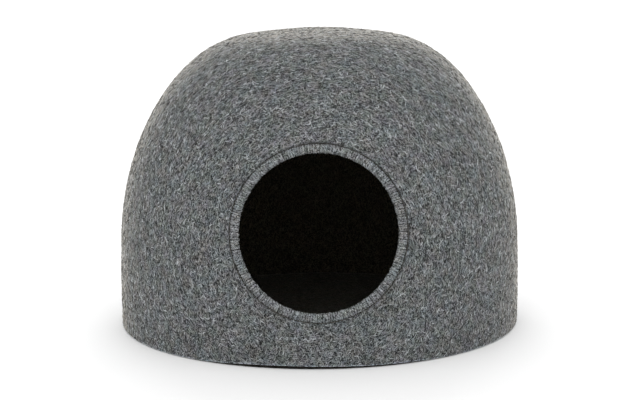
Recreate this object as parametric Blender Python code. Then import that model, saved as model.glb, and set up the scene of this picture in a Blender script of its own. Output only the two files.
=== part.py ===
"""Felt cat cave: a one-piece moulded felt dome with a round bound opening, standing around a dark felt base.

Metres, +Z up. The origin is on the floor, under the middle of the dome. The opening faces -Y.
"""
import math

import bpy
import numpy as np

MM = 0.001
SEGMENTS = 72             # flat steps around the dome, the opening and the base
STEPS_PER_ROW = 2         # mesh rows worked out between two rows of the profile table
FRONT = -math.pi / 2      # direction of the opening, seen from above
GAP = 0.3 * MM            # between pieces that touch

# Shell: the outer face of the dome, from the cut hem up to the crown.
FELT = 5.0 * MM
CROWN_HEIGHT = 331.5 * MM
SHELL_PROFILE = (
    # height_mm, radius_mm
    (0.0, 225.1),         # hem, on the floor
    (40.0, 225.2),        # belly
    (80.0, 224.8),
    (120.0, 222.8),
    (160.0, 216.4),
    (200.0, 204.8),
    (236.0, 188.6),
    (266.0, 169.9),
    (290.0, 148.8),       # shoulder
    (309.0, 123.6),
    (321.5, 94.2),        # edge of the flat crown
    (327.6, 55.3),
    (331.5, 0.0),
)

# The felt isn't quite even: the crown sits a little to the right, and the shoulders differ.
LEAN = 1.1 * MM
SHOULDER_FORMS = (
    # x_mm, y_mm, height_mm, reach_mm, rise_mm
    (-150.0, 0.0, 270.0, 35.0, -0.6),
    (140.0, 0.0, 285.0, 35.0, 0.4),
)

# The hem lifts off the floor along the front. The first and last rows only steer the curve's ends.
HEM_REACH = 40.0 * MM     # height over which the lift dies out
HEM_STEPS = 4             # steps worked out between two rows
HEM_LIFT = (
    # degrees_from_front, lift_mm (right is positive)
    (-50.0, 0.0),
    (-38.0, 0.0),
    (-29.0, 0.9),
    (-19.0, 2.4),
    (-9.0, 3.0),
    (3.0, 2.3),
    (15.0, 1.5),
    (27.0, 0.9),
    (37.0, 0.0),
    (49.0, 0.0),
)

# Opening: a round hole square to the wall, so that its axis rises towards the front.
OPENING_TILT = math.radians(10.0)
OPENING_AXIS_HEIGHT = 100.5 * MM      # height of the axis at the middle of the dome
OPENING_SIDE = -0.6 * MM              # sideways place of the axis
OPENING_RADIUS = 81.0 * MM            # clear radius inside the binding
BINDING_WIDTH = 9.7 * MM
CUT_RADIUS = OPENING_RADIUS + BINDING_WIDTH + GAP
CUTTER_START = 120.0 * MM             # along the axis, inside the dome
CUTTER_END = 300.0 * MM               # along the axis, outside the dome
HALVINGS = 40                         # of that length, to find where a line meets the wall

# Binding: half its depth through the wall, from the groove beside the shell to its inner edge.
BINDING_SECTION = (
    # across, half_depth_mm
    (0.0, 1.7),
    (0.12, 2.8),
    (0.35, 3.3),
    (0.62, 3.2),
    (0.84, 2.3),
    (1.0, 0.0),
)

# Base: a flat felt disc inside the hem.
BASE_THICKNESS = 4.0 * MM

FELT_GREY = (0.13, 0.135, 0.135)
BINDING_GREY = (0.15, 0.155, 0.155)
BASE_BLACK = (0.012, 0.011, 0.010)
FELT_ROUGHNESS = 0.95
SHARP_ANGLE = math.radians(40.0)


def clear_scene():
    for obj in list(bpy.data.objects):
        bpy.data.objects.remove(obj, do_unlink=True)


def felt_material(name, colour):
    material = bpy.data.materials.new(name)
    material.use_nodes = True
    shader = material.node_tree.nodes["Principled BSDF"]
    shader.inputs["Base Color"].default_value = (*colour, 1.0)
    shader.inputs["Roughness"].default_value = FELT_ROUGHNESS
    shader.inputs["Metallic"].default_value = 0.0
    return material


def add_object(name, points, faces, material=None):
    mesh = bpy.data.meshes.new(name)
    mesh.from_pydata([tuple(point) for point in points], [], faces)
    mesh.update()
    obj = bpy.data.objects.new(name, mesh)
    bpy.context.scene.collection.objects.link(obj)
    if material is not None:
        mesh.materials.append(material)
        mesh.shade_smooth()
        mesh.set_sharp_from_angle(angle=SHARP_ANGLE)
    return obj


def smooth_curve(points, steps):
    """A Catmull-Rom curve through all points but the first and last, which steer its ends."""
    points = np.array(points, dtype=float)
    curve = []
    for before, start, end, after in zip(points, points[1:], points[2:], points[3:]):
        for step in range(steps):
            t = step / steps
            curve.append(0.5 * (2 * start + (end - before) * t
                                + (2 * before - 5 * start + 4 * end - after) * t ** 2
                                + (3 * start - before - 3 * end + after) * t ** 3))
    curve.append(points[-2])
    return np.array(curve)


def profile_rows():
    """Rows of (radius, height) down the middle of the outer face, hem first and crown last."""
    table = np.array([(radius, height) for height, radius in SHELL_PROFILE]) * MM
    below_hem = 2 * table[0] - table[1]
    beyond_crown = table[-2] * (-1, 1)
    return smooth_curve([below_hem, *table, beyond_crown], STEPS_PER_ROW)


def offset_inwards(rows, distance):
    """The same rows moved square to the profile, with the hem kept on the floor and the crown on the axis."""
    along = np.gradient(rows, axis=0)
    outward = np.stack([along[:, 1], -along[:, 0]], axis=1)
    outward /= np.linalg.norm(outward, axis=1)[:, None]
    moved = rows - outward * distance
    moved[0, 1] = rows[0, 1]
    moved[-1] = (0.0, rows[-1, 1] - distance)
    return moved


OUTER_ROWS = profile_rows()
INNER_ROWS = offset_inwards(OUTER_ROWS, FELT)
HEM_ROWS = smooth_curve(HEM_LIFT, HEM_STEPS)


def radius_at(rows, height):
    return float(np.interp(height, rows[:, 1], rows[:, 0]))


def azimuth(step):
    return FRONT + math.tau * step / SEGMENTS


def lean(point):
    """Moves a point sideways with the dome's lean."""
    x, y, z = point
    return (x + LEAN * z / CROWN_HEIGHT, y, z)


def shoulder_rise(x, y, z):
    rise = 0.0
    for form_x, form_y, form_z, reach, height in SHOULDER_FORMS:
        distance = math.dist((x, y, z), (form_x * MM, form_y * MM, form_z * MM)) / (reach * MM)
        rise += height * MM * math.exp(-0.5 * distance ** 2)
    return rise


def hem_lift(angle, z):
    degrees_from_front = math.degrees(math.remainder(angle - FRONT, math.tau))
    fade = max(0.0, 1.0 - z / HEM_REACH)
    return float(np.interp(degrees_from_front, HEM_ROWS[:, 0], HEM_ROWS[:, 1])) * MM * fade ** 2


def wall_point(radius, height, angle):
    """A point of the shell's wall, with the lean, the shoulder forms and the lifted hem."""
    x = radius * math.cos(angle)
    y = radius * math.sin(angle)
    grow = 1.0 + shoulder_rise(x, y, height) / max(math.hypot(radius, height), FELT)
    return lean((x * grow, y * grow, height * grow + hem_lift(angle, height)))


def bridge(low, high, flip=False):
    """Quads between two closed rings of point numbers."""
    faces = []
    for i in range(len(low)):
        j = (i + 1) % len(low)
        quad = (low[i], low[j], high[j], high[i])
        faces.append(quad[::-1] if flip else quad)
    return faces


def fan(ring, middle, flip=False):
    """Triangles from a closed ring of point numbers to one point."""
    faces = []
    for i in range(len(ring)):
        triangle = (ring[i], ring[(i + 1) % len(ring)], middle)
        faces.append(triangle[::-1] if flip else triangle)
    return faces


def make_shell():
    """The felt dome: two faces of the same profile, closed along the hem, with the opening cut through."""
    points = []
    faces = []
    hems = []
    for rows, inside in ((OUTER_ROWS, False), (INNER_ROWS, True)):
        rings = []
        for radius, height in rows[:-1]:
            rings.append(range(len(points), len(points) + SEGMENTS))
            points += [wall_point(radius, height, azimuth(step)) for step in range(SEGMENTS)]
        crown = len(points)
        points.append(wall_point(0.0, rows[-1, 1], 0.0))
        for low, high in zip(rings, rings[1:]):
            faces += bridge(low, high, flip=inside)
        faces += fan(rings[-1], crown, flip=inside)
        hems.append(rings[0])
    faces += bridge(hems[1], hems[0])
    shell = add_object("shell", points, faces, felt_material("shell_felt", FELT_GREY))
    cut = shell.modifiers.new("opening", "BOOLEAN")
    cut.operation = "DIFFERENCE"
    cut.solver = "EXACT"
    cut.object = make_opening_cutter()


def opening_point(across, turn, along):
    """A point at a distance from the opening's axis, at a turn around it and a place along it."""
    side = across * math.cos(turn)
    up = across * math.sin(turn)
    x = OPENING_SIDE + side
    y = up * math.sin(OPENING_TILT) - along * math.cos(OPENING_TILT)
    z = OPENING_AXIS_HEIGHT + up * math.cos(OPENING_TILT) + along * math.sin(OPENING_TILT)
    return (x, y, z)


def opening_turn(step):
    return math.tau * step / SEGMENTS


def make_opening_cutter():
    """A round bar along the opening's axis, long enough to pass through the front wall."""
    points = []
    for along in (CUTTER_START, CUTTER_END):
        points += [lean(opening_point(CUT_RADIUS, opening_turn(step), along)) for step in range(SEGMENTS)]
    inner = range(SEGMENTS)
    outer = range(SEGMENTS, 2 * SEGMENTS)
    faces = bridge(inner, outer) + [tuple(reversed(inner)), tuple(outer)]
    cutter = add_object("opening_cutter", points, faces)
    cutter.hide_render = True
    cutter.display_type = "WIRE"
    return cutter


def along_to_wall(rows, across, turn):
    """How far along the opening's axis a line at this place meets a face of the wall."""
    near, far = CUTTER_START, CUTTER_END
    for _ in range(HALVINGS):
        middle = (near + far) / 2
        x, y, z = opening_point(across, turn, middle)
        if math.hypot(x, y) < radius_at(rows, z):
            near = middle
        else:
            far = middle
    return near


def binding_section(turn):
    """Points around the binding at one turn: the front face inwards, then the back face outwards."""
    front = []
    back = []
    for across, half_depth in BINDING_SECTION:
        distance = OPENING_RADIUS + BINDING_WIDTH * (1.0 - across)
        outer = along_to_wall(OUTER_ROWS, distance, turn)
        inner = along_to_wall(INNER_ROWS, distance, turn)
        middle = (outer + inner) / 2
        front.append(lean(opening_point(distance, turn, middle + half_depth * MM)))
        back.append(lean(opening_point(distance, turn, middle - half_depth * MM)))
    return front + back[-2::-1]


def make_binding():
    """The rounded rim of the opening, following the curve of the wall."""
    sections = [binding_section(opening_turn(step)) for step in range(SEGMENTS)]
    size = len(sections[0])
    points = [point for section in sections for point in section]
    faces = []
    for step in range(SEGMENTS):
        this_section = range(step * size, (step + 1) * size)
        next_start = (step + 1) % SEGMENTS * size
        next_section = range(next_start, next_start + size)
        faces += bridge(this_section, next_section, flip=True)
    add_object("opening_binding", points, faces, felt_material("binding_felt", BINDING_GREY))


def make_base():
    """The flat disc inside the hem, a gap clear of the wall."""
    radius = min(radius_at(INNER_ROWS, 0.0), radius_at(INNER_ROWS, BASE_THICKNESS)) - GAP
    points = []
    for height in (0.0, BASE_THICKNESS):
        points += [
            (radius * math.cos(azimuth(step)), radius * math.sin(azimuth(step)), height)
            for step in range(SEGMENTS)
        ]
    under = range(SEGMENTS)
    top = range(SEGMENTS, 2 * SEGMENTS)
    faces = bridge(under, top) + [tuple(reversed(under)), tuple(top)]
    add_object("base", points, faces, felt_material("base_felt", BASE_BLACK))


clear_scene()
make_shell()
make_binding()
make_base()
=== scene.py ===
"""Looks of the felt cat cave: the moulded felt dome, the yarn-bound opening, the base and the loose fibres.

Metres, +Z up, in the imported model's frame. The sizes of the dome, its hem and its opening are those of the
part's source, and the functions below work out a finer surface from them. Only the binding is rounder here.
"""

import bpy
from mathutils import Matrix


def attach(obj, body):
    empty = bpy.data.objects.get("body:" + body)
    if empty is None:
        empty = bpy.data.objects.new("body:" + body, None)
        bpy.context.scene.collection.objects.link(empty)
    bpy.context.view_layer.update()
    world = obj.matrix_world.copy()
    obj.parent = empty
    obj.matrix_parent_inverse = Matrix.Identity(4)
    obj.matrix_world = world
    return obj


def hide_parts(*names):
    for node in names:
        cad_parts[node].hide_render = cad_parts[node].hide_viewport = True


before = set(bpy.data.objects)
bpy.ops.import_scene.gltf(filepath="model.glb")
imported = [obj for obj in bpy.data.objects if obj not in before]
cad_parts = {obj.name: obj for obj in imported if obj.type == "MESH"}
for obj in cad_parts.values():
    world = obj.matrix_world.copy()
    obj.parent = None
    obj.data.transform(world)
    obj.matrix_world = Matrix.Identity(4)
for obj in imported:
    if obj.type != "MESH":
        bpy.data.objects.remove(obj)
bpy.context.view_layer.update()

import math

import bpy
import numpy as np
from mathutils import Matrix, Vector, noise

MM = 0.001
BODY = "root"
SEED = 7
FRONT = -math.pi / 2      # direction of the opening, seen from above
# The attribute carries the wool's own tone and also painted shade and painted highlight.
TONE = "tone"             # attribute that says how light the wool is at a vertex

# The dome's outer face, from the cut hem up to the crown.
FELT = 5.0 * MM
CROWN_HEIGHT = 331.5 * MM
SHELL_PROFILE = (
    # height_mm, radius_mm
    (0.0, 225.1),
    (40.0, 225.2),
    (80.0, 224.8),
    (120.0, 222.8),
    (160.0, 216.4),
    (200.0, 204.8),
    (236.0, 188.6),
    (266.0, 169.9),
    (290.0, 148.8),
    (309.0, 123.6),
    (321.5, 94.2),
    (327.6, 55.3),
    (331.5, 0.0),
)
LEAN = 1.1 * MM
SHOULDER_FORMS = (
    # x_mm, y_mm, height_mm, reach_mm, rise_mm
    (-150.0, 0.0, 270.0, 35.0, -0.6),
    (140.0, 0.0, 285.0, 35.0, 0.4),
)

# The hem lifts off the floor along the front.
HEM_REACH = 40.0 * MM
HEM_STEPS = 8
HEM_LIFT = (
    # degrees_from_front, lift_mm (right is positive)
    (-50.0, 0.0),
    (-38.0, 0.0),
    (-29.0, 0.9),
    (-19.0, 2.4),
    (-9.0, 3.0),
    (3.0, 2.3),
    (15.0, 1.5),
    (27.0, 0.9),
    (37.0, 0.0),
    (49.0, 0.0),
)

# Opening: its axis rises towards the front.
OPENING_TILT = math.radians(10.0)
OPENING_AXIS_HEIGHT = 100.5 * MM
OPENING_SIDE = -0.6 * MM
OPENING_RADIUS = 81.0 * MM
BINDING_WIDTH = 9.7 * MM
GAP = 0.3 * MM            # between the binding and the shell
CUT_RADIUS = OPENING_RADIUS + BINDING_WIDTH + GAP
AXIS_START = 120.0 * MM   # along the axis, inside the dome
AXIS_END = 300.0 * MM     # along the axis, outside the dome
HALVINGS = 40             # of that length, to find where a line meets the wall
OUTLINE_STEPS = 12        # steps worked out between two rows of the section
OUTLINE_END = (-0.1, 0.6)     # row past the groove, which only steers the curve's ends
BINDING_SECTION = (
    # across (from the groove to the inner edge), half_depth_mm
    (0.0, 0.2),
    (0.05, 1.9),
    (0.3, 3.5),
    (0.56, 3.9),
    (0.83, 2.8),
    (1.0, 0.0),
)

# How light the wool is, as a share of its material's colour (red, green, blue where there are three). Some of
# these are painted shade and painted highlight, marked at each.
# Painted shade: the dome's inner face made darker and warmer, for the dim inside.
INSIDE_PAINTED_SHADE = (0.48, 0.4, 0.27)
# Painted highlight: the hem's cut edge made paler, for the light it catches from the floor.
HEM_PAINTED_HIGHLIGHT = (2.6, 2.8, 3.1)
BASE_EDGE_TONE = 0.15
# Painted shade: each wrap darker at its sides, between neighbouring wraps, and at its ends in the groove.
WRAP_SIDE_PAINTED_SHADE = 0.22
WRAP_END_PAINTED_SHADE = 0.2
WRAP_END_SHARE = 0.1      # of a wrap's length, over which its end darkens
WRAP_TONE_PLAY = 0.25     # how much lighter or darker single wraps are
NEIGHBOUR_SHARE = 0.35    # how far a wrap's tone moves away from its neighbours'
# Painted shade: darker and a little cooler in the groove beside the binding.
GROOVE_PAINTED_SHADE = (0.2, 0.22, 0.24)
BASE_TONE = (1.15, 1.0, 0.8)

# Fineness of the dome's mesh.
SHELL_SEGMENTS = 432
OUTER_STEPS = 11          # mesh rows between two rows of the profile table
INNER_STEPS = 3
HEM_ROUND = 1.8 * MM      # radius of the hem's two edges
HEM_ARC_STEPS = 4
LUMPS_FOOT = 8.0 * MM     # height over which the lumps come in, up from the floor
LUMPS_APART = 17.0        # between the noises of two sizes
LUMPS = (
    # size_mm, height_mm
    (38.0, 0.30),
    (13.0, 0.16),
    (6.0, 0.07),
)

# The cut edge of the felt rolls into the groove beside the binding.
LIP = 0.9 * MM            # radius of the roll
LIP_TURNS = 360
LIP_ANGLES = (0, 15, 30, 45, 60, 72)
LIP_FLARE = (0.5 * LIP, 0.6 * LIP)    # how far the cutter goes on past the roll, across and along

# Yarn wrapped around the opening's edge, over a core.
WRAPS = 212
WRAP_HALF_HEIGHT = 0.95 * MM
WRAP_POINTS = 15
WRAP_SIDES = 8
WRAP_FULLNESS = 1.04      # of half the distance between two wraps
WRAP_SLANT = 0.55         # of that distance, from one end to the other
WRAP_PLAY = 0.08          # of that distance, either way, in a wrap's place
WRAP_SLANT_PLAY = 0.1     # the same in its slant
WRAP_BEND_PLAY = 0.1      # and in its bend
WRAP_HEIGHT_PLAY = (-0.12, 0.22)      # of the half height
WRAP_TIP = 0.4 * MM
WRAP_SIDESTEP = 0.2       # of that distance, to find the direction beside a wrap
CORE_TURNS = 240
CORE_POINTS = 18
CORE_WIDTH = 0.86         # of the binding's
CORE_DEPTH = 0.72         # of the binding's

# Base: a felt disc inside the hem.
BASE_THICKNESS = 4.0 * MM
BASE_RADIUS = 219.8 * MM
BASE_RINGS = 36
BASE_SEGMENTS = 216
BASE_TOP_INSET = 1.2 * MM
BASE_REACH = 2.8 * MM         # how far the edge comes out under the lifted hem
BASE_REACH_LIFT = 0.8 * MM    # lift of the hem at which it comes out in full
BASE_LIP_GAP = 0.25 * MM      # between the edge and the hem above it
BASE_LEAST_LIP = 0.15 * MM
BASE_EDGE = (
    # out_mm, share_of_reach, share_of_lip, up_mm (the rings from the underside to the top)
    (-3.0, 0.0, 0.0, 0.0),
    (0.0, 1.0, 0.0, 0.0),
    (0.15, 1.0, 0.5, 0.0),
    (0.0, 1.0, 1.0, 0.0),
    (-0.2, 0.0, 1.0, 0.1),
    (-0.4, 0.0, 0.0, 3.2),
)
BASE_LUMPS_STRETCH = (1, 1, 30)
BASE_LUMPS_RINGS = 3          # rings over which the lumps come in, from the edge

# Loose fibres on the dome and on the binding.
FIBRE_LENGTH = (3.0, 7.5)       # shortest and longest on the dome, in mm
FIBRE_RADIUS = (0.15, 0.42)     # smallest and largest, in mm
FIBRE_SIDES = 3
FIBRE_PLACES = (-0.5, -0.18, 0.18, 0.5)     # of its length: one tip, two rings and the other tip
FIBRE_HEIGHTS = (0.05, 0.18, 0.18, 0.05)    # how far these usually lie off the wool, in mm
FIBRE_BEND = 0.05          # of a fibre's length
FIBRE_SINK = 0.25          # how deep a fibre lies in the felt, in its radii
FIBRE_CLEARANCE = 1.5 * MM      # least height above the hem
FIBRE_ROUNDNESS = 0.4      # how far a fibre's shading turns away from the felt's
FIBRE_LAY = 1.0            # how strongly fibres at the sides and the crown lie around the opening
STANDING = 0.06            # share of the dome's fibres that have one end standing up
STANDING_TIP = (0.4, 1.3)       # how much higher that end's tip lies, in mm
STANDING_RING = (0.1, 0.4)      # how much higher the ring before it lies, in mm
LOWEST_FIBRE = 0.002       # of the dome's area, up from the hem
RIM_POINTS = 60            # around the binding's outline, for the places of its fibres
RIM_SPAN = (4.0, 36.0)     # first and last of these points, from the groove past the inner edge
RIM_STEP = (1.0, 0.01)     # in these points and in radians, to find the directions at a place
RIM_SWING = 0.35           # radians between a fibre on the binding and the wraps
RIM_SINK = 0.15 * MM
WOOLS = (
    # piece, material, fibres (those over the opening are left out), grey, sheen
    ("fibres_pale", "pale_wool", 16500, 0.4, 1.0),
    ("fibres_light", "light_wool", 15000, 0.17, 0.95),
    ("fibres_mid", "grey_wool", 15000, 0.058, 0.65),
    ("fibres_dark", "dark_wool", 13500, 0.006, 0.15),
)
RIM_WOOLS = (
    # piece, material, fibres, grey, shortest and longest in mm, share that stands up
    ("fibres_rim_pale", "pale_rim_wool", 1500, 0.3, (2.2, 5.0), 0.3),
    ("fibres_rim_dark", "dark_rim_wool", 900, 0.02, (2.2, 4.0), 0.0),
)

# Strokes in the felt: straight ones, with their directions as turns about X, Y and Z, and ones laid around
# the opening.
STROKE_SIZE = 1.0 * MM
STROKE_STRETCH = 5.0
STROKE_CENTRE = 128.0 * MM      # height of the level axis that the strokes run around
STROKE_REACH = 150.0 * MM       # distance from that axis where they have their full length
AROUND = None
STROKES = (
    (0.0, -1.05, 0.2),
    AROUND,
    (0.0, -1.92, -0.2),
    AROUND,
)
STROKE_APART = 5.0              # mm between the noises of two of these
LIGHT_STROKES = 11.0            # place of the light strokes' noises, in mm
DARK_STROKES = 57.0
LIGHT_SHARE = 0.62              # of the light strokes in the wool, where the dark ones have the rest
WOOL_MIDDLE = 0.52              # of the strokes' values, and how far these go below and above it
WOOL_BELOW = 0.055
WOOL_ABOVE = 0.06
WOOL_GREYS = (0.15, 3.8)        # darkest and lightest wool, of the felt's grey

# Single fibres drawn in the felt, as thin wandering lines.
LINE_DISTORTION = 1.4
LINE_SPREAD = (0.46, 0.56)      # range of the noise that breaks the lines up
BREAK_SIZE = 0.9                # of the lines' noise
BREAK_APART = 31.0
LINES = (
    # size_mm, width, place, strength, grey (of the felt's), blue
    (5.5, 0.05, 47.0, 0.75, 0.1, 0.06),
    (4.0, 0.07, 71.0, 0.6, 3.2, 0.05),
    (6.5, 0.035, 97.0, 0.7, 4.4, 0.1),
)

# Slow drifts of the felt's hue.
DRIFT_RANGE = (0.45, 0.65)
DRIFTS = (
    # size_mm, place, tint where it is high, tint where it is low
    (14.0, 131.0, (1.06, 0.99, 1.01, 1.0), (0.94, 1.01, 1.0, 1.0)),
    (12.0, 173.0, (0.99, 1.0, 1.06, 1.0), (1.01, 1.0, 0.94, 1.0)),
)

# Surface of all wool.
GREY_RED = 0.95                 # of a grey's green
GREY_BLUE = -0.01               # more than a grey's green
LINE_HEIGHT = 0.3               # how far the paler lines stand up, as a share of the strokes
BUMP_STRENGTH = 0.35
BUMP_DISTANCE = 0.7 * MM
WOOL_RANGE = (0.35, 0.65)
WOOL_ROUGHNESS = (1.0, 0.86)    # at the two ends of that range
FIBRE_ROUGHNESS = 0.7
FIBRE_NOISE = (7.0 * MM, 5.0)   # size and place
FIBRE_GREYS = (0.7, 1.3)        # darkest and lightest, of the fibres' own grey
FIBRE_BLUE = 0.04               # of the lightest
SPECULAR = 0.15
SHEEN_ROUGHNESS = 0.28
SHEEN_TINT = (1.0, 0.935, 0.83, 1.0)

# Camera, floor and light.
LOOK_AT = Vector((1.507 * MM, 0.0, 135.86 * MM))
CAMERA_DISTANCE = 1.8
CAMERA_ELEVATION = math.radians(9.665)
CAMERA_ROLL = math.radians(-0.5756)
LENS = 88.94
SENSOR = 36.0
CLIP = (0.1, 100.0)
FLOOR_SIZE = 60.0
FLOOR_HEIGHT = -0.3 * MM
FLOOR_ALBEDO = 0.85
WORLD_LIGHT = 1.15
LAMP_SOFTNESS = math.radians(50.0)
LAMP_DISTANCE = 2.0
LAMPS = (
    # name, degrees_from_front, degrees_above_the_floor, strength
    ("back_light", 180.0, 20.0, 1.85),
    ("top_light", 0.0, 70.0, 0.3),
    ("front_light", 0.0, 15.0, 0.2),
)

rng = np.random.default_rng(SEED)


# ---------------------------------------------------------------- curves and the dome's surface

def smooth_curve(points, steps):
    """A Catmull-Rom curve through all points but the first and last, which steer its ends."""
    points = np.array(points, dtype=float)
    t = (np.arange(steps) / steps)[:, None]
    curve = []
    for before, start, end, after in zip(points, points[1:], points[2:], points[3:]):
        curve.append(0.5 * (2 * start + (end - before) * t
                            + (2 * before - 5 * start + 4 * end - after) * t ** 2
                            + (3 * start - before - 3 * end + after) * t ** 3))
    return np.concatenate([*curve, points[-2:-1]])


def profile_rows(steps):
    """Rows of (radius, height) down the middle of the outer face, hem first and crown last."""
    table = np.array([(radius, height) for height, radius in SHELL_PROFILE]) * MM
    return smooth_curve([2 * table[0] - table[1], *table, table[-2] * (-1, 1)], steps)


def outward(rows):
    """Unit directions square to a profile, away from the dome's middle."""
    along = np.gradient(rows, axis=0)
    normal = np.stack([along[:, 1], -along[:, 0]], axis=1)
    return normal / np.linalg.norm(normal, axis=1)[:, None]


def offset_inwards(rows, distance):
    moved = rows - outward(rows) * distance
    moved[0, 1] = rows[0, 1]
    moved[-1] = (0.0, rows[-1, 1] - distance)
    return moved


OUTER_ROWS = profile_rows(OUTER_STEPS)
INNER_ROWS = offset_inwards(profile_rows(INNER_STEPS), FELT)
HEM_ROWS = smooth_curve(HEM_LIFT, HEM_STEPS)


def hem_lift(angle, height):
    """How far the cut hem rises, in arrays of direction and height."""
    from_front = np.degrees(np.remainder(angle - FRONT + math.pi, math.tau) - math.pi)
    fade = np.clip(1.0 - height / HEM_REACH, 0.0, 1.0) ** 2
    return np.interp(from_front, HEM_ROWS[:, 0], HEM_ROWS[:, 1]) * MM * fade


def leaning(points):
    """The points moved sideways with the dome's lean."""
    moved = points.copy()
    moved[..., 0] += LEAN * points[..., 2] / CROWN_HEIGHT
    return moved


def wall_points(radius, height, angle):
    """Points of the dome's wall, with the lean, the shoulder forms and the lifted hem."""
    radius, height, angle = np.broadcast_arrays(radius, height, angle)
    x = radius * np.cos(angle)
    y = radius * np.sin(angle)
    rise = np.zeros(x.shape)
    for form_x, form_y, form_z, reach, amount in SHOULDER_FORMS:
        away = np.sqrt((x - form_x * MM) ** 2 + (y - form_y * MM) ** 2 + (height - form_z * MM) ** 2)
        rise += amount * MM * np.exp(-0.5 * (away / (reach * MM)) ** 2)
    grow = 1.0 + rise / np.maximum(np.hypot(radius, height), FELT)
    return leaning(np.stack([x * grow, y * grow, height * grow + hem_lift(angle, height)], axis=-1))


def lumps(points):
    """The felt's uneven thickness at each point, fading out at the hem's foot."""
    flat = points.reshape(-1, 3)
    rise = np.zeros(len(flat))
    for number, (size, height) in enumerate(LUMPS):
        spots = flat / (size * MM) + LUMPS_APART * (number + 1)
        rise += [noise.noise(spot) * height * MM for spot in spots]
    return (rise * np.clip(flat[:, 2] / LUMPS_FOOT, 0.0, 1.0)).reshape(points.shape[:-1])


def turned_normals(normal, angle):
    """Directions in space for a profile's (radial, upward) normals, turned to each angle."""
    radial, up, angle = np.broadcast_arrays(normal[..., 0], normal[..., 1], angle)
    return np.stack([radial * np.cos(angle), radial * np.sin(angle), up], axis=-1)


def opening_points(across, turn, along):
    """Points at a distance from the opening's axis, at a turn around it and a place along it."""
    side, up, along = np.broadcast_arrays(across * np.cos(turn), across * np.sin(turn), along)
    return np.stack([
        OPENING_SIDE + side,
        up * math.sin(OPENING_TILT) - along * math.cos(OPENING_TILT),
        OPENING_AXIS_HEIGHT + up * math.cos(OPENING_TILT) + along * math.sin(OPENING_TILT),
    ], axis=-1)


def along_to_wall(rows, across, turn):
    """How far along the opening's axis the lines at these places meet a face of the wall."""
    across, turn = np.broadcast_arrays(across, turn)
    near = np.full(across.shape, AXIS_START)
    far = np.full(across.shape, AXIS_END)
    for _ in range(HALVINGS):
        middle = (near + far) / 2
        spot = opening_points(across, turn, middle)
        inside = np.hypot(spot[..., 0], spot[..., 1]) < np.interp(spot[..., 2], rows[:, 1], rows[:, 0])
        near = np.where(inside, middle, near)
        far = np.where(inside, far, middle)
    return near


def opening_distance(points):
    """How far points lie from the opening's axis, and how far along it."""
    x = points[..., 0] - OPENING_SIDE - LEAN * points[..., 2] / CROWN_HEIGHT
    y = points[..., 1]
    z = points[..., 2] - OPENING_AXIS_HEIGHT
    up = y * math.sin(OPENING_TILT) + z * math.cos(OPENING_TILT)
    along = -y * math.cos(OPENING_TILT) + z * math.sin(OPENING_TILT)
    return np.hypot(x, up), along


# ---------------------------------------------------------------- meshes

def add_piece(name, points, faces, material):
    mesh = bpy.data.meshes.new(name)
    mesh.from_pydata(np.asarray(points).reshape(-1, 3).tolist(), [], faces)
    mesh.update()
    mesh.materials.append(material)
    mesh.shade_smooth()
    piece = bpy.data.objects.new(name, mesh)
    bpy.context.scene.collection.objects.link(piece)
    return piece


def set_tone_and_painted_light(piece, values):
    """How light the wool is at each vertex, with painted shade and painted highlight where set, as red, green
    and blue shares. The piece's material reads it.
    """
    colours = np.ones((len(values), 4), dtype=np.float32)
    colours[:, :3] = values
    tone = piece.data.attributes.new(TONE, "FLOAT_COLOR", "POINT")
    tone.data.foreach_set("color", colours.ravel())


def ring_faces(rings, size, closed=False, start=0):
    """Quads between neighbouring rings of a grid of points."""
    faces = []
    for ring in range(rings if closed else rings - 1):
        low = start + ring * size
        high = start + (ring + 1) % rings * size
        faces += [(low + i, low + (i + 1) % size, high + (i + 1) % size, high + i) for i in range(size)]
    return faces


def make_shell(material):
    """The dome as one closed piece of felt: down its inner face, around the hem and up its outer face."""
    angle = FRONT + math.tau * np.arange(SHELL_SEGMENTS) / SHELL_SEGMENTS
    outer = OUTER_ROWS[OUTER_ROWS[:, 1] > HEM_ROUND][:-1]
    outer_normal = outward(OUTER_ROWS)[OUTER_ROWS[:, 1] > HEM_ROUND][:-1]
    inner = INNER_ROWS[INNER_ROWS[:, 1] > HEM_ROUND][:-1][::-1]
    arc = np.radians(np.linspace(0.0, 90.0, HEM_ARC_STEPS + 1))
    from_face = HEM_ROUND * (1 - np.cos(arc))
    edge_height = HEM_ROUND * (1 - np.sin(arc))
    inner_edge = np.stack([INNER_ROWS[0, 0] + from_face, edge_height], axis=1)
    outer_edge = np.stack([OUTER_ROWS[0, 0] - from_face, edge_height], axis=1)
    inside = np.concatenate([inner, inner_edge, outer_edge[::-1]])
    inside_points = wall_points(inside[:, :1], inside[:, 1:], angle)
    outside_points = wall_points(outer[:, :1], outer[:, 1:], angle)
    outside_points += turned_normals(outer_normal[:, None], angle) * lumps(outside_points)[..., None]
    rings = np.concatenate([inside_points, outside_points])
    points = rings.reshape(-1, 3).tolist()
    faces = ring_faces(len(rings), SHELL_SEGMENTS)
    last = (len(rings) - 1) * SHELL_SEGMENTS
    inner_crown, outer_crown = len(points), len(points) + 1
    points.append(wall_points(0.0, INNER_ROWS[-1, 1], 0.0).tolist())
    points.append(wall_points(0.0, OUTER_ROWS[-1, 1], 0.0).tolist())
    for i in range(SHELL_SEGMENTS):
        j = (i + 1) % SHELL_SEGMENTS
        faces.append((inner_crown, j, i))
        faces.append((last + i, last + j, outer_crown))
    shell = add_piece("felt_shell", points, faces, material)
    cut_opening(shell, material)
    paint_shell_light_and_shade(shell)
    return shell


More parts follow.
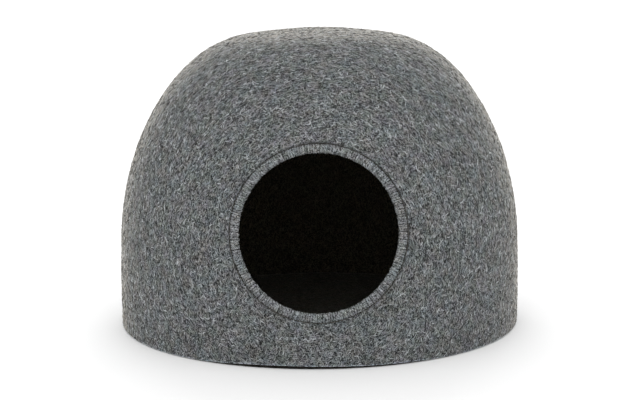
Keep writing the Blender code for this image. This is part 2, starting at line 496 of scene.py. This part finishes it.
def cut_opening(shell, material):
    """Cuts the opening with a bar that flares at the wall's outer face, so that the cut edge is rolled."""
    turn = math.tau * np.arange(LIP_TURNS) / LIP_TURNS
    rings = [opening_points(CUT_RADIUS, turn, AXIS_START)]
    for degrees in LIP_ANGLES:
        swing = math.radians(degrees)
        across = CUT_RADIUS + LIP * (1 - math.cos(swing))
        along = along_to_wall(OUTER_ROWS, across, turn) - LIP * (1 - math.sin(swing))
        rings.append(opening_points(across, turn, along))
    rings.append(opening_points(across + LIP_FLARE[0], turn, along + LIP_FLARE[1]))
    rings.append(opening_points(across + LIP_FLARE[0], turn, AXIS_END))
    points = leaning(np.array(rings))
    faces = ring_faces(len(rings), LIP_TURNS)
    last = (len(rings) - 1) * LIP_TURNS
    faces += [tuple(range(LIP_TURNS))[::-1], tuple(range(last, last + LIP_TURNS))]
    cutter = add_piece("opening_cutter", points, faces, material)
    cut = shell.modifiers.new("opening", "BOOLEAN")
    cut.operation = "DIFFERENCE"
    cut.solver = "EXACT"
    cut.object = cutter
    evaluated = shell.evaluated_get(bpy.context.evaluated_depsgraph_get())
    whole = shell.data
    shell.data = bpy.data.meshes.new_from_object(evaluated)
    shell.data.name = "felt_shell"
    shell.modifiers.clear()
    bpy.data.meshes.remove(whole)
    bpy.data.objects.remove(cutter, do_unlink=True)
    shell.data.shade_smooth()


def paint_shell_light_and_shade(shell):
    """Painted shade on the inner face and in the groove, and a painted highlight along the hem's cut edge."""
    size = len(shell.data.vertices)
    spots = np.empty(size * 3, dtype=np.float32)
    normals = np.empty(size * 3, dtype=np.float32)
    shell.data.vertices.foreach_get("co", spots)
    shell.data.vertices.foreach_get("normal", normals)
    spots = spots.reshape(-1, 3)
    facing = (normals.reshape(-1, 3) * (spots - (0.0, 0.0, OPENING_AXIS_HEIGHT))).sum(axis=1)
    above = spots[:, 2] - hem_lift(np.arctan2(spots[:, 1], spots[:, 0]), np.zeros(size))
    edge = np.clip(1.0 - np.abs(2.0 * above / HEM_ROUND - 1.0), 0.0, 1.0)
    away, along = opening_distance(spots)
    share = np.where(along > 0.0, np.interp(away - CUT_RADIUS, (0.0, LIP), (1.0, 0.0)), 0.0)[:, None]
    # Painted shade in the groove and a painted highlight on the hem's cut edge; below, painted shade over the
    # whole inner face.
    tone = 1.0 + share * (np.array(GROOVE_PAINTED_SHADE) - 1.0) + edge[:, None] * (np.array(HEM_PAINTED_HIGHLIGHT) - 1.0)
    set_tone_and_painted_light(shell, np.where(facing[:, None] < 0.0, INSIDE_PAINTED_SHADE, tone))


def binding_outline(points):
    """The binding's outline as rows of (across, depth): in along the front face and out along the back."""
    front = [(across, half) for across, half in BINDING_SECTION]
    back = [(across, -half) for across, half in BINDING_SECTION[-2::-1]]
    table = np.array([OUTLINE_END, *front, *back, (OUTLINE_END[0], -OUTLINE_END[1])])
    fine = smooth_curve(table, OUTLINE_STEPS)
    steps = np.diff(fine, axis=0) * (BINDING_WIDTH / MM, 1.0)
    length = np.concatenate([[0.0], np.cumsum(np.hypot(*steps.T))])
    even = np.linspace(0.0, length[-1], points)
    return np.stack([np.interp(even, length, fine[:, 0]), np.interp(even, length, fine[:, 1])], axis=1)


def binding_points(across, depth, turn):
    """Points by their place in the binding's section, which follows the curve of the wall."""
    distance = OPENING_RADIUS + BINDING_WIDTH * (1.0 - across)
    middle = (along_to_wall(OUTER_ROWS, distance, turn) + along_to_wall(INNER_ROWS, distance, turn)) / 2
    return leaning(opening_points(distance, turn, middle + depth))


def make_core(material):
    """The felt edge inside the wraps."""
    outline = binding_outline(CORE_POINTS)
    across = 0.5 + (outline[:, 0] - 0.5) * CORE_WIDTH
    depth = outline[:, 1] * MM * CORE_DEPTH
    turn = math.tau * np.arange(CORE_TURNS) / CORE_TURNS
    rings = binding_points(across[None, :], depth[None, :], turn[:, None])
    faces = [face[::-1] for face in ring_faces(CORE_TURNS, len(outline), closed=True)]
    return add_piece("binding_core", rings, faces, material)


def tube_faces(points, sides):
    """Faces of one tube: rings of points between its two tips."""
    faces = [(0, 1 + (k + 1) % sides, 1 + k) for k in range(sides)]
    faces += ring_faces(points, sides, start=1)
    last = 1 + (points - 1) * sides
    tip = 1 + points * sides
    faces += [(last + k, last + (k + 1) % sides, tip) for k in range(sides)]
    return faces


def joined_tubes(name, rings, tips, material):
    """Many tubes as one mesh. rings has shape (tubes, points, sides, 3) and tips (tubes, 2, 3)."""
    tubes, points, sides = rings.shape[:3]
    body = rings.reshape(tubes, points * sides, 3)
    vertices = np.concatenate([tips[:, :1], body, tips[:, 1:]], axis=1)
    step = vertices.shape[1]
    pattern = tube_faces(points, sides)
    faces = [tuple(number + tube * step for number in face) for tube in range(tubes) for face in pattern]
    return add_piece(name, vertices, faces, material)


def make_wraps(material):
    """Strands of yarn laid side by side around the opening's edge, each from groove to groove."""
    outline = binding_outline(WRAP_POINTS)
    pitch = math.tau / WRAPS
    start = pitch * (np.arange(WRAPS) + rng.uniform(-WRAP_PLAY, WRAP_PLAY, WRAPS))
    place = np.linspace(0.0, 1.0, WRAP_POINTS)
    slant = pitch * (WRAP_SLANT + rng.uniform(-WRAP_SLANT_PLAY, WRAP_SLANT_PLAY, WRAPS))
    bend = pitch * rng.uniform(-WRAP_BEND_PLAY, WRAP_BEND_PLAY, WRAPS)
    turn = start[:, None] + slant[:, None] * (place - 0.5) + bend[:, None] * np.sin(2 * math.pi * place)
    proud = WRAP_HALF_HEIGHT * (1 + rng.uniform(*WRAP_HEIGHT_PLAY, WRAPS))[:, None]
    across = outline[None, :, 0] + np.zeros((WRAPS, 1))
    depth = outline[None, :, 1] * MM + np.zeros((WRAPS, 1))
    spine = binding_points(across, depth, turn)
    beside = binding_points(across, depth, turn + WRAP_SIDESTEP * pitch) - spine
    beside /= np.linalg.norm(beside, axis=-1)[..., None]
    along = np.gradient(spine, axis=1)
    along /= np.linalg.norm(along, axis=-1)[..., None]
    out = np.cross(beside, along)
    out /= np.linalg.norm(out, axis=-1)[..., None]
    spine = spine - out * WRAP_HALF_HEIGHT
    half_width = WRAP_FULLNESS * (OPENING_RADIUS + BINDING_WIDTH * (1 - across)) * pitch / 2
    swing = math.tau * np.arange(WRAP_SIDES) / WRAP_SIDES
    rings = (spine[:, :, None]
             + beside[:, :, None] * (half_width[..., None] * np.cos(swing))[..., None]
             + out[:, :, None] * (proud[..., None] * np.sin(swing))[..., None])
    tips = np.stack([spine[:, 0] - along[:, 0] * WRAP_TIP, spine[:, -1] + along[:, -1] * WRAP_TIP], axis=1)
    wraps = joined_tubes("yarn_wraps", rings, tips, material)
    mood = rng.uniform(-1.0, 1.0, WRAPS)
    mood -= NEIGHBOUR_SHARE * (np.roll(mood, 1) + np.roll(mood, -1))
    # Painted shade on each wrap's sides and ends, multiplied with the wrap's own random tone.
    side_painted_shade = WRAP_SIDE_PAINTED_SHADE + (1.0 - WRAP_SIDE_PAINTED_SHADE) * np.clip(np.sin(swing), 0.0, 1.0)
    end_painted_shade = np.interp(np.minimum(place, 1.0 - place), (0.0, WRAP_END_SHARE), (WRAP_END_PAINTED_SHADE, 1.0))
    body_painted_shade = (end_painted_shade[:, None] * side_painted_shade).ravel()
    around = np.concatenate([[WRAP_END_PAINTED_SHADE], body_painted_shade, [WRAP_END_PAINTED_SHADE]])
    set_tone_and_painted_light(wraps, ((1.0 + WRAP_TONE_PLAY * mood)[:, None] * around).reshape(-1, 1))
    return wraps


def make_base(material):
    """The flat disc inside the hem, gently uneven on top and pressed out a little under the lifted hem."""
    angle = FRONT + math.tau * np.arange(BASE_SEGMENTS) / BASE_SEGMENTS
    lift = hem_lift(angle, np.zeros(BASE_SEGMENTS))
    reach = np.clip(lift / BASE_REACH_LIFT, 0.0, 1.0) * BASE_REACH
    lip = np.clip(lift - BASE_LIP_GAP, BASE_LEAST_LIP, None)
    rings = [level_ring(BASE_RADIUS + reach_share * reach + out * MM, lip_share * lip + up * MM, angle)
             for out, reach_share, lip_share, up in BASE_EDGE]
    for ring in range(BASE_RINGS):
        share = 1 - (ring / BASE_RINGS)
        top = level_ring((BASE_RADIUS - BASE_TOP_INSET) * share, BASE_THICKNESS, angle)
        top[:, 2] += lumps(top * BASE_LUMPS_STRETCH) * min(1.0, ring / BASE_LUMPS_RINGS)
        rings.append(top)
    points = np.array(rings).reshape(-1, 3).tolist()
    faces = ring_faces(len(rings), BASE_SEGMENTS)
    last = (len(rings) - 1) * BASE_SEGMENTS
    middle = len(points)
    points.append((0.0, 0.0, BASE_THICKNESS))
    faces.append(tuple(range(BASE_SEGMENTS))[::-1])
    faces += [(last + i, last + (i + 1) % BASE_SEGMENTS, middle) for i in range(BASE_SEGMENTS)]
    base = add_piece("felt_base", points, faces, material)
    tone = np.full((len(points), 3), BASE_TONE)
    # The edge rings, which show under the lifted hem, are made darker than the top.
    tone[:(len(BASE_EDGE) - 1) * BASE_SEGMENTS] *= BASE_EDGE_TONE
    set_tone_and_painted_light(base, tone)
    return base


def level_ring(radius, height, angle):
    """Points around the dome's axis."""
    radius, height, angle = np.broadcast_arrays(radius, height, angle)
    return np.stack([radius * np.cos(angle), radius * np.sin(angle), height], axis=-1)


# ---------------------------------------------------------------- loose fibres

def dome_spots(count):
    """Even random places on the dome's outer face, away from the opening: points, normals and directions."""
    rows = OUTER_ROWS
    normals = outward(rows)
    strip = np.hypot(*np.diff(rows, axis=0).T) * (rows[1:, 0] + rows[:-1, 0])
    share = np.concatenate([[0.0], np.cumsum(strip)]) / strip.sum()
    place = np.interp(rng.uniform(LOWEST_FIBRE, 1.0, count), share, np.arange(len(rows)))
    angle = rng.uniform(0.0, math.tau, count)
    number = np.arange(len(rows))
    radius = np.interp(place, number, rows[:, 0])
    height = np.interp(place, number, rows[:, 1])
    normal = np.stack([np.interp(place, number, normals[:, k]) for k in (0, 1)], axis=1)
    points = wall_points(radius, height, angle)
    away, forward = opening_distance(points)
    keep = (away > CUT_RADIUS + LIP) | (forward < 0)
    normal = turned_normals(normal, angle)[keep]
    points = points[keep]
    level = np.cross(normal, (0.0, 0.0, 1.0))
    level /= np.linalg.norm(level, axis=1)[:, None] + 1e-9
    upright = np.cross(normal, level)
    hoop = np.cross(points - (0.0, 0.0, STROKE_CENTRE), (0.0, 1.0, 0.0))
    start = np.arctan2((hoop * upright).sum(axis=1), (hoop * level).sum(axis=1))
    swing = rng.uniform(0.0, math.tau, len(points)) - start
    swing -= FIBRE_LAY * (1.0 - normal[:, 1] ** 2) / 2 * np.sin(2 * swing)
    swing = (swing + start)[:, None]
    along = level * np.cos(swing) + upright * np.sin(swing)
    return points + normal * lumps(points)[:, None], normal, along


def rim_spots(count):
    """Random places on the binding, from the groove past the inner edge, mostly directed along the wraps."""
    outline = binding_outline(RIM_POINTS)
    place = rng.uniform(*RIM_SPAN, count)
    turn = rng.uniform(0.0, math.tau, count)

    def at(place, turn):
        across = np.interp(place, np.arange(RIM_POINTS), outline[:, 0])
        depth = np.interp(place, np.arange(RIM_POINTS), outline[:, 1]) * MM
        return binding_points(across, depth, turn)

    points = at(place, turn)
    inwards = at(place + RIM_STEP[0], turn) - points
    normal = np.cross(at(place, turn + RIM_STEP[1]) - points, inwards)
    normal /= np.linalg.norm(normal, axis=1)[:, None]
    inwards /= np.linalg.norm(inwards, axis=1)[:, None]
    swing = rng.normal(RIM_SWING, RIM_SWING, count)[:, None]
    along = inwards * np.cos(swing) + np.cross(normal, inwards) * np.sin(swing)
    return points - normal * RIM_SINK, normal, along


def make_fibres(name, spots, material, span, standing_share):
    """Short bent fibres lying on the wool, a share of them with one end standing up."""
    points, normal, along = spots
    count = len(points)
    length = rng.uniform(*span, count) * MM
    aside = np.cross(normal, along)
    bend = rng.normal(0.0, FIBRE_BEND, (count, 4)) * length[:, None]
    heights = np.abs(rng.normal(0.0, 1.0, (count, 4))) * FIBRE_HEIGHTS * MM
    radius = rng.uniform(*FIBRE_RADIUS, count) * MM
    standing = rng.uniform(0.0, 1.0, count) < standing_share
    heights[standing, 3] += rng.uniform(*STANDING_TIP, standing.sum()) * MM
    heights[standing, 2] += rng.uniform(*STANDING_RING, standing.sum()) * MM
    path = (points[:, None]
            + along[:, None] * (np.array(FIBRE_PLACES) * length[:, None])[..., None]
            + aside[:, None] * bend[..., None]
            + normal[:, None] * (heights - FIBRE_SINK * radius[:, None])[..., None])
    hem = hem_lift(np.arctan2(path[..., 1], path[..., 0]), np.zeros(path.shape[:2]))
    path[..., 2] = np.maximum(path[..., 2], hem + FIBRE_CLEARANCE)
    swing = math.tau * np.arange(FIBRE_SIDES) / FIBRE_SIDES
    across = aside[:, None, None] * np.cos(swing)[None, None, :, None]
    up = normal[:, None, None] * np.sin(swing)[None, None, :, None]
    rings = path[:, 1:3, None] + (across + up) * radius[:, None, None, None]
    fibres = joined_tubes(name, rings, path[:, ::3], material)
    ring_shading = normal[:, None, None] + FIBRE_ROUNDNESS * (across + up) + np.zeros((1, 2, 1, 1))
    ring_shading = ring_shading.reshape(count, 2 * FIBRE_SIDES, 3)
    shading = np.concatenate([normal[:, None], ring_shading, normal[:, None]], axis=1)
    shading /= np.linalg.norm(shading, axis=-1)[..., None]
    fibres.data.normals_split_custom_set_from_vertices(shading.reshape(-1, 3).tolist())
    return fibres


# ---------------------------------------------------------------- materials

class Nodes:
    """Short calls to build a material's node tree."""

    MIX_COLOURS = (6, 7)      # a Mix node's sockets for its two colours
    MIX_RESULT = 2            # and its output for their mix

    def __init__(self, name):
        self.material = bpy.data.materials.new(name)
        self.material.use_nodes = True
        self.tree = self.material.node_tree
        self.shader = self.tree.nodes["Principled BSDF"]

    def add(self, kind, inputs=None, **settings):
        node = self.tree.nodes.new(kind)
        for key, value in settings.items():
            setattr(node, key, value)
        for key, value in (inputs or {}).items():
            self.feed(node.inputs[key], value)
        return node

    def feed(self, socket, value):
        if isinstance(value, bpy.types.NodeSocket):
            self.tree.links.new(value, socket)
        else:
            socket.default_value = value

    def noise(self, size, offset, detail, roughness=0.6, distortion=0.0):
        """Noise with features of about a size in metres."""
        where = self.add("ShaderNodeTexCoord").outputs["Object"]
        shifted = self.add("ShaderNodeMapping", {
            "Vector": where, "Location": (offset,) * 3, "Scale": (1 / size,) * 3}).outputs["Vector"]
        return self.add("ShaderNodeTexNoise", {
            "Vector": shifted, "Scale": 1.0, "Detail": detail,
            "Roughness": roughness, "Distortion": distortion}).outputs["Fac"]

    def spread(self, value, low, high, to_low=0.0, to_high=1.0):
        """A value stretched from one range to another, and held inside it."""
        return self.add("ShaderNodeMapRange", {
            "Value": value, "From Min": low, "From Max": high,
            "To Min": to_low, "To Max": to_high}).outputs["Result"]

    def math(self, operation, first, second):
        node = self.add("ShaderNodeMath", operation=operation)
        self.feed(node.inputs[0], first)
        self.feed(node.inputs[1], second)
        return node.outputs["Value"]

    def lines(self, size, width, offset):
        """Thin wandering lines, like single fibres: where a noise passes its middle value."""
        value = self.noise(size, offset, detail=1.0, roughness=0.4, distortion=LINE_DISTORTION)
        away = self.math("ABSOLUTE", self.math("SUBTRACT", value, 0.5), 0.0)
        line = self.spread(away, 0.0, width, 1.0, 0.0)
        broken = self.spread(self.noise(size * BREAK_SIZE, offset + BREAK_APART, detail=1.0), *LINE_SPREAD)
        return self.math("MULTIPLY", line, broken)

    def around(self, where):
        """A place as its way around the strokes' axis, its distance from the axis and its way along it."""
        parts = self.add("ShaderNodeSeparateXYZ", {"Vector": where}).outputs
        height = self.math("SUBTRACT", parts["Z"], STROKE_CENTRE)
        turn = self.math("ARCTAN2", parts["X"], height)
        squares = self.math("ADD", self.math("POWER", parts["X"], 2.0), self.math("POWER", height, 2.0))
        return self.add("ShaderNodeCombineXYZ", {
            "X": self.math("MULTIPLY", turn, STROKE_REACH),
            "Y": self.math("POWER", squares, 0.5),
            "Z": parts["Y"]}).outputs["Vector"]

    def heap(self, operation, size, offset):
        """Strokes much longer than they are wide, in several directions, laid over each other."""
        straight = self.add("ShaderNodeTexCoord").outputs["Object"]
        around = self.around(straight)
        heap = None
        for number, turn in enumerate(STROKES):
            turned = self.add("ShaderNodeMapping", {
                "Vector": around if turn is AROUND else straight,
                "Location": ((offset + STROKE_APART * number) * MM,) * 3,
                "Rotation": (0.0, 0.0, 0.0) if turn is AROUND else turn,
                "Scale": (size * STROKE_STRETCH, size, size)}, vector_type="TEXTURE").outputs["Vector"]
            strokes = self.add("ShaderNodeTexNoise", {
                "Vector": turned, "Scale": 1.0, "Detail": 1.0, "Roughness": 0.5,
                "Distortion": 0.5}).outputs["Fac"]
            heap = strokes if heap is None else self.math(operation, heap, strokes)
        return heap

    def mix(self, factor, first, second, blend="MIX"):
        node = self.add("ShaderNodeMix", data_type="RGBA", blend_type=blend)
        self.feed(node.inputs["Factor"], factor)
        for number, colour in zip(self.MIX_COLOURS, (first, second)):
            self.feed(node.inputs[number], colour)
        return node.outputs[self.MIX_RESULT]


def grey(value, blue=GREY_BLUE):
    return (value * GREY_RED, value, value * (1 + blue), 1.0)


def felt_material(name, base, contrast, sheen, grain=1.0, toned=True):
    """Melange wool felt: short strokes of light and dark wool lying in all directions, with single fibres."""
    felt = Nodes(name)
    light = felt.heap("MAXIMUM", STROKE_SIZE * grain, LIGHT_STROKES)
    dark = felt.heap("MINIMUM", STROKE_SIZE * grain, DARK_STROKES)
    light = felt.math("MULTIPLY", light, LIGHT_SHARE)
    dark = felt.math("MULTIPLY", dark, 1 - LIGHT_SHARE)
    wool = felt.math("ADD", light, dark)
    tone = felt.spread(wool, WOOL_MIDDLE - WOOL_BELOW / contrast, WOOL_MIDDLE + WOOL_ABOVE / contrast)
    darkest, lightest = (grey(base * share) for share in WOOL_GREYS)
    colour = felt.mix(felt.math("MULTIPLY", tone, tone), darkest, lightest)
    lines = []
    for size, width, place, strength, share, blue in LINES:
        lines.append(felt.lines(size * MM * grain, width, place))
        colour = felt.mix(felt.math("MULTIPLY", lines[-1], strength), colour, grey(base * share, blue))
    low, high = DRIFT_RANGE
    for size, place, high_tint, low_tint in DRIFTS:
        drift = felt.noise(size * MM, place, detail=2.0)
        colour = felt.mix(felt.spread(drift, low, high), colour, high_tint, blend="MULTIPLY")
        colour = felt.mix(felt.spread(drift, 1 - low, 1 - high), colour, low_tint, blend="MULTIPLY")
    # This multiply brings in painted shade and painted highlight along with the wool's own tone.
    if toned:
        attribute = felt.add("ShaderNodeAttribute", attribute_name=TONE)
        colour = felt.mix(1.0, colour, attribute.outputs["Color"], blend="MULTIPLY")
    raised = felt.math("MULTIPLY", felt.math("ADD", lines[1], lines[2]), LINE_HEIGHT)
    bump = felt.add("ShaderNodeBump", {
        "Height": felt.math("ADD", wool, raised), "Strength": BUMP_STRENGTH, "Distance": BUMP_DISTANCE})
    felt.feed(felt.shader.inputs["Base Color"], colour)
    felt.feed(felt.shader.inputs["Normal"], bump.outputs["Normal"])
    felt.feed(felt.shader.inputs["Roughness"], felt.spread(wool, *WOOL_RANGE, *WOOL_ROUGHNESS))
    finish(felt.shader, sheen)
    return felt.material


def finish(shader, sheen):
    shader.inputs["Specular IOR Level"].default_value = SPECULAR
    shader.inputs["Sheen Weight"].default_value = sheen
    shader.inputs["Sheen Roughness"].default_value = SHEEN_ROUGHNESS
    shader.inputs["Sheen Tint"].default_value = SHEEN_TINT


def fibre_material(name, value, sheen):
    """Wool of one shade, a little darker and lighter from place to place."""
    fibre = Nodes(name)
    tone = fibre.noise(*FIBRE_NOISE, detail=1.0)
    darkest = grey(value * FIBRE_GREYS[0])
    lightest = grey(value * FIBRE_GREYS[1], FIBRE_BLUE)
    colour = fibre.mix(fibre.spread(tone, *WOOL_RANGE), darkest, lightest)
    fibre.feed(fibre.shader.inputs["Base Color"], colour)
    fibre.shader.inputs["Roughness"].default_value = FIBRE_ROUGHNESS
    finish(fibre.shader, sheen)
    return fibre.material


def floor_material():
    floor = Nodes("studio_floor")
    floor.shader.inputs["Base Color"].default_value = (FLOOR_ALBEDO,) * 3 + (1.0,)
    floor.shader.inputs["Roughness"].default_value = 0.9
    floor.shader.inputs["Specular IOR Level"].default_value = 0.0
    return floor.material


# ---------------------------------------------------------------- studio

def make_floor():
    half = FLOOR_SIZE / 2
    corners = [(-half, -half, FLOOR_HEIGHT), (half, -half, FLOOR_HEIGHT),
               (half, half, FLOOR_HEIGHT), (-half, half, FLOOR_HEIGHT)]
    floor = add_piece("floor", corners, [(0, 1, 2, 3)], floor_material())


def make_light():
    world = bpy.data.worlds.new("studio")
    world.use_nodes = True
    background = world.node_tree.nodes["Background"]
    background.inputs["Color"].default_value = (1.0, 1.0, 1.0, 1.0)
    background.inputs["Strength"].default_value = WORLD_LIGHT
    bpy.context.scene.world = world
    for name, around, above, strength in LAMPS:
        level = math.cos(math.radians(above))
        towards = Vector((math.sin(math.radians(around)) * level, -math.cos(math.radians(around)) * level,
                          math.sin(math.radians(above))))
        lamp = bpy.data.lights.new(name, "SUN")
        lamp.angle = LAMP_SOFTNESS
        lamp.energy = strength
        placed = bpy.data.objects.new(name, lamp)
        placed.location = towards * LAMP_DISTANCE
        placed.rotation_euler = (-towards).to_track_quat("-Z", "Y").to_euler()
        bpy.context.scene.collection.objects.link(placed)


def make_camera():
    """Looks at the dome from the front and a little above, with a slight roll."""
    ahead = Vector((0.0, math.cos(CAMERA_ELEVATION), -math.sin(CAMERA_ELEVATION)))
    level_right = Vector((1.0, 0.0, 0.0))
    level_up = Vector((0.0, math.sin(CAMERA_ELEVATION), math.cos(CAMERA_ELEVATION)))
    right = level_right * math.cos(CAMERA_ROLL) + level_up * math.sin(CAMERA_ROLL)
    up = level_up * math.cos(CAMERA_ROLL) - level_right * math.sin(CAMERA_ROLL)
    camera = bpy.data.objects.new("camera", bpy.data.cameras.new("camera"))
    axes = Matrix((right, up, -ahead)).transposed().to_4x4()
    camera.matrix_world = Matrix.Translation(LOOK_AT - ahead * CAMERA_DISTANCE) @ axes
    camera.data.lens = LENS
    camera.data.sensor_width = SENSOR
    camera.data.clip_start, camera.data.clip_end = CLIP
    bpy.context.scene.collection.objects.link(camera)
    bpy.context.scene.camera = camera


make_camera()
make_floor()
make_light()
bpy.context.scene.view_settings.view_transform = "Standard"

grey_felt = felt_material("grey_felt", 0.062, contrast=1.4, sheen=0.75, grain=0.95)
grey_yarn = felt_material("grey_yarn", 0.11, contrast=1.8, sheen=0.15, grain=0.6)
base_felt = felt_material("base_felt", 0.05, contrast=0.8, sheen=0.1)
# The core's felt is much darker than the dome's: painted shade for the gaps between the wraps.
core_felt_painted_shade = felt_material("core_felt_painted_shade", 0.02, contrast=0.8, sheen=0.0, toned=False)

shell = make_shell(grey_felt)
core = make_core(core_felt_painted_shade)
wraps = make_wraps(grey_yarn)
base = make_base(base_felt)
fibres = []
for name, wool, count, value, sheen in WOOLS:
    spots = dome_spots(count)
    fibres.append(make_fibres(name, spots, fibre_material(wool, value, sheen), FIBRE_LENGTH, STANDING))
for name, wool, count, value, span, standing in RIM_WOOLS:
    spots = rim_spots(count)
    fibres.append(make_fibres(name, spots, fibre_material(wool, value, sheen=0.0), span, standing))

for piece in (shell, core, wraps, base, *fibres):
    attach(piece, BODY)
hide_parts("shell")
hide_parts("opening_binding")
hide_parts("base")
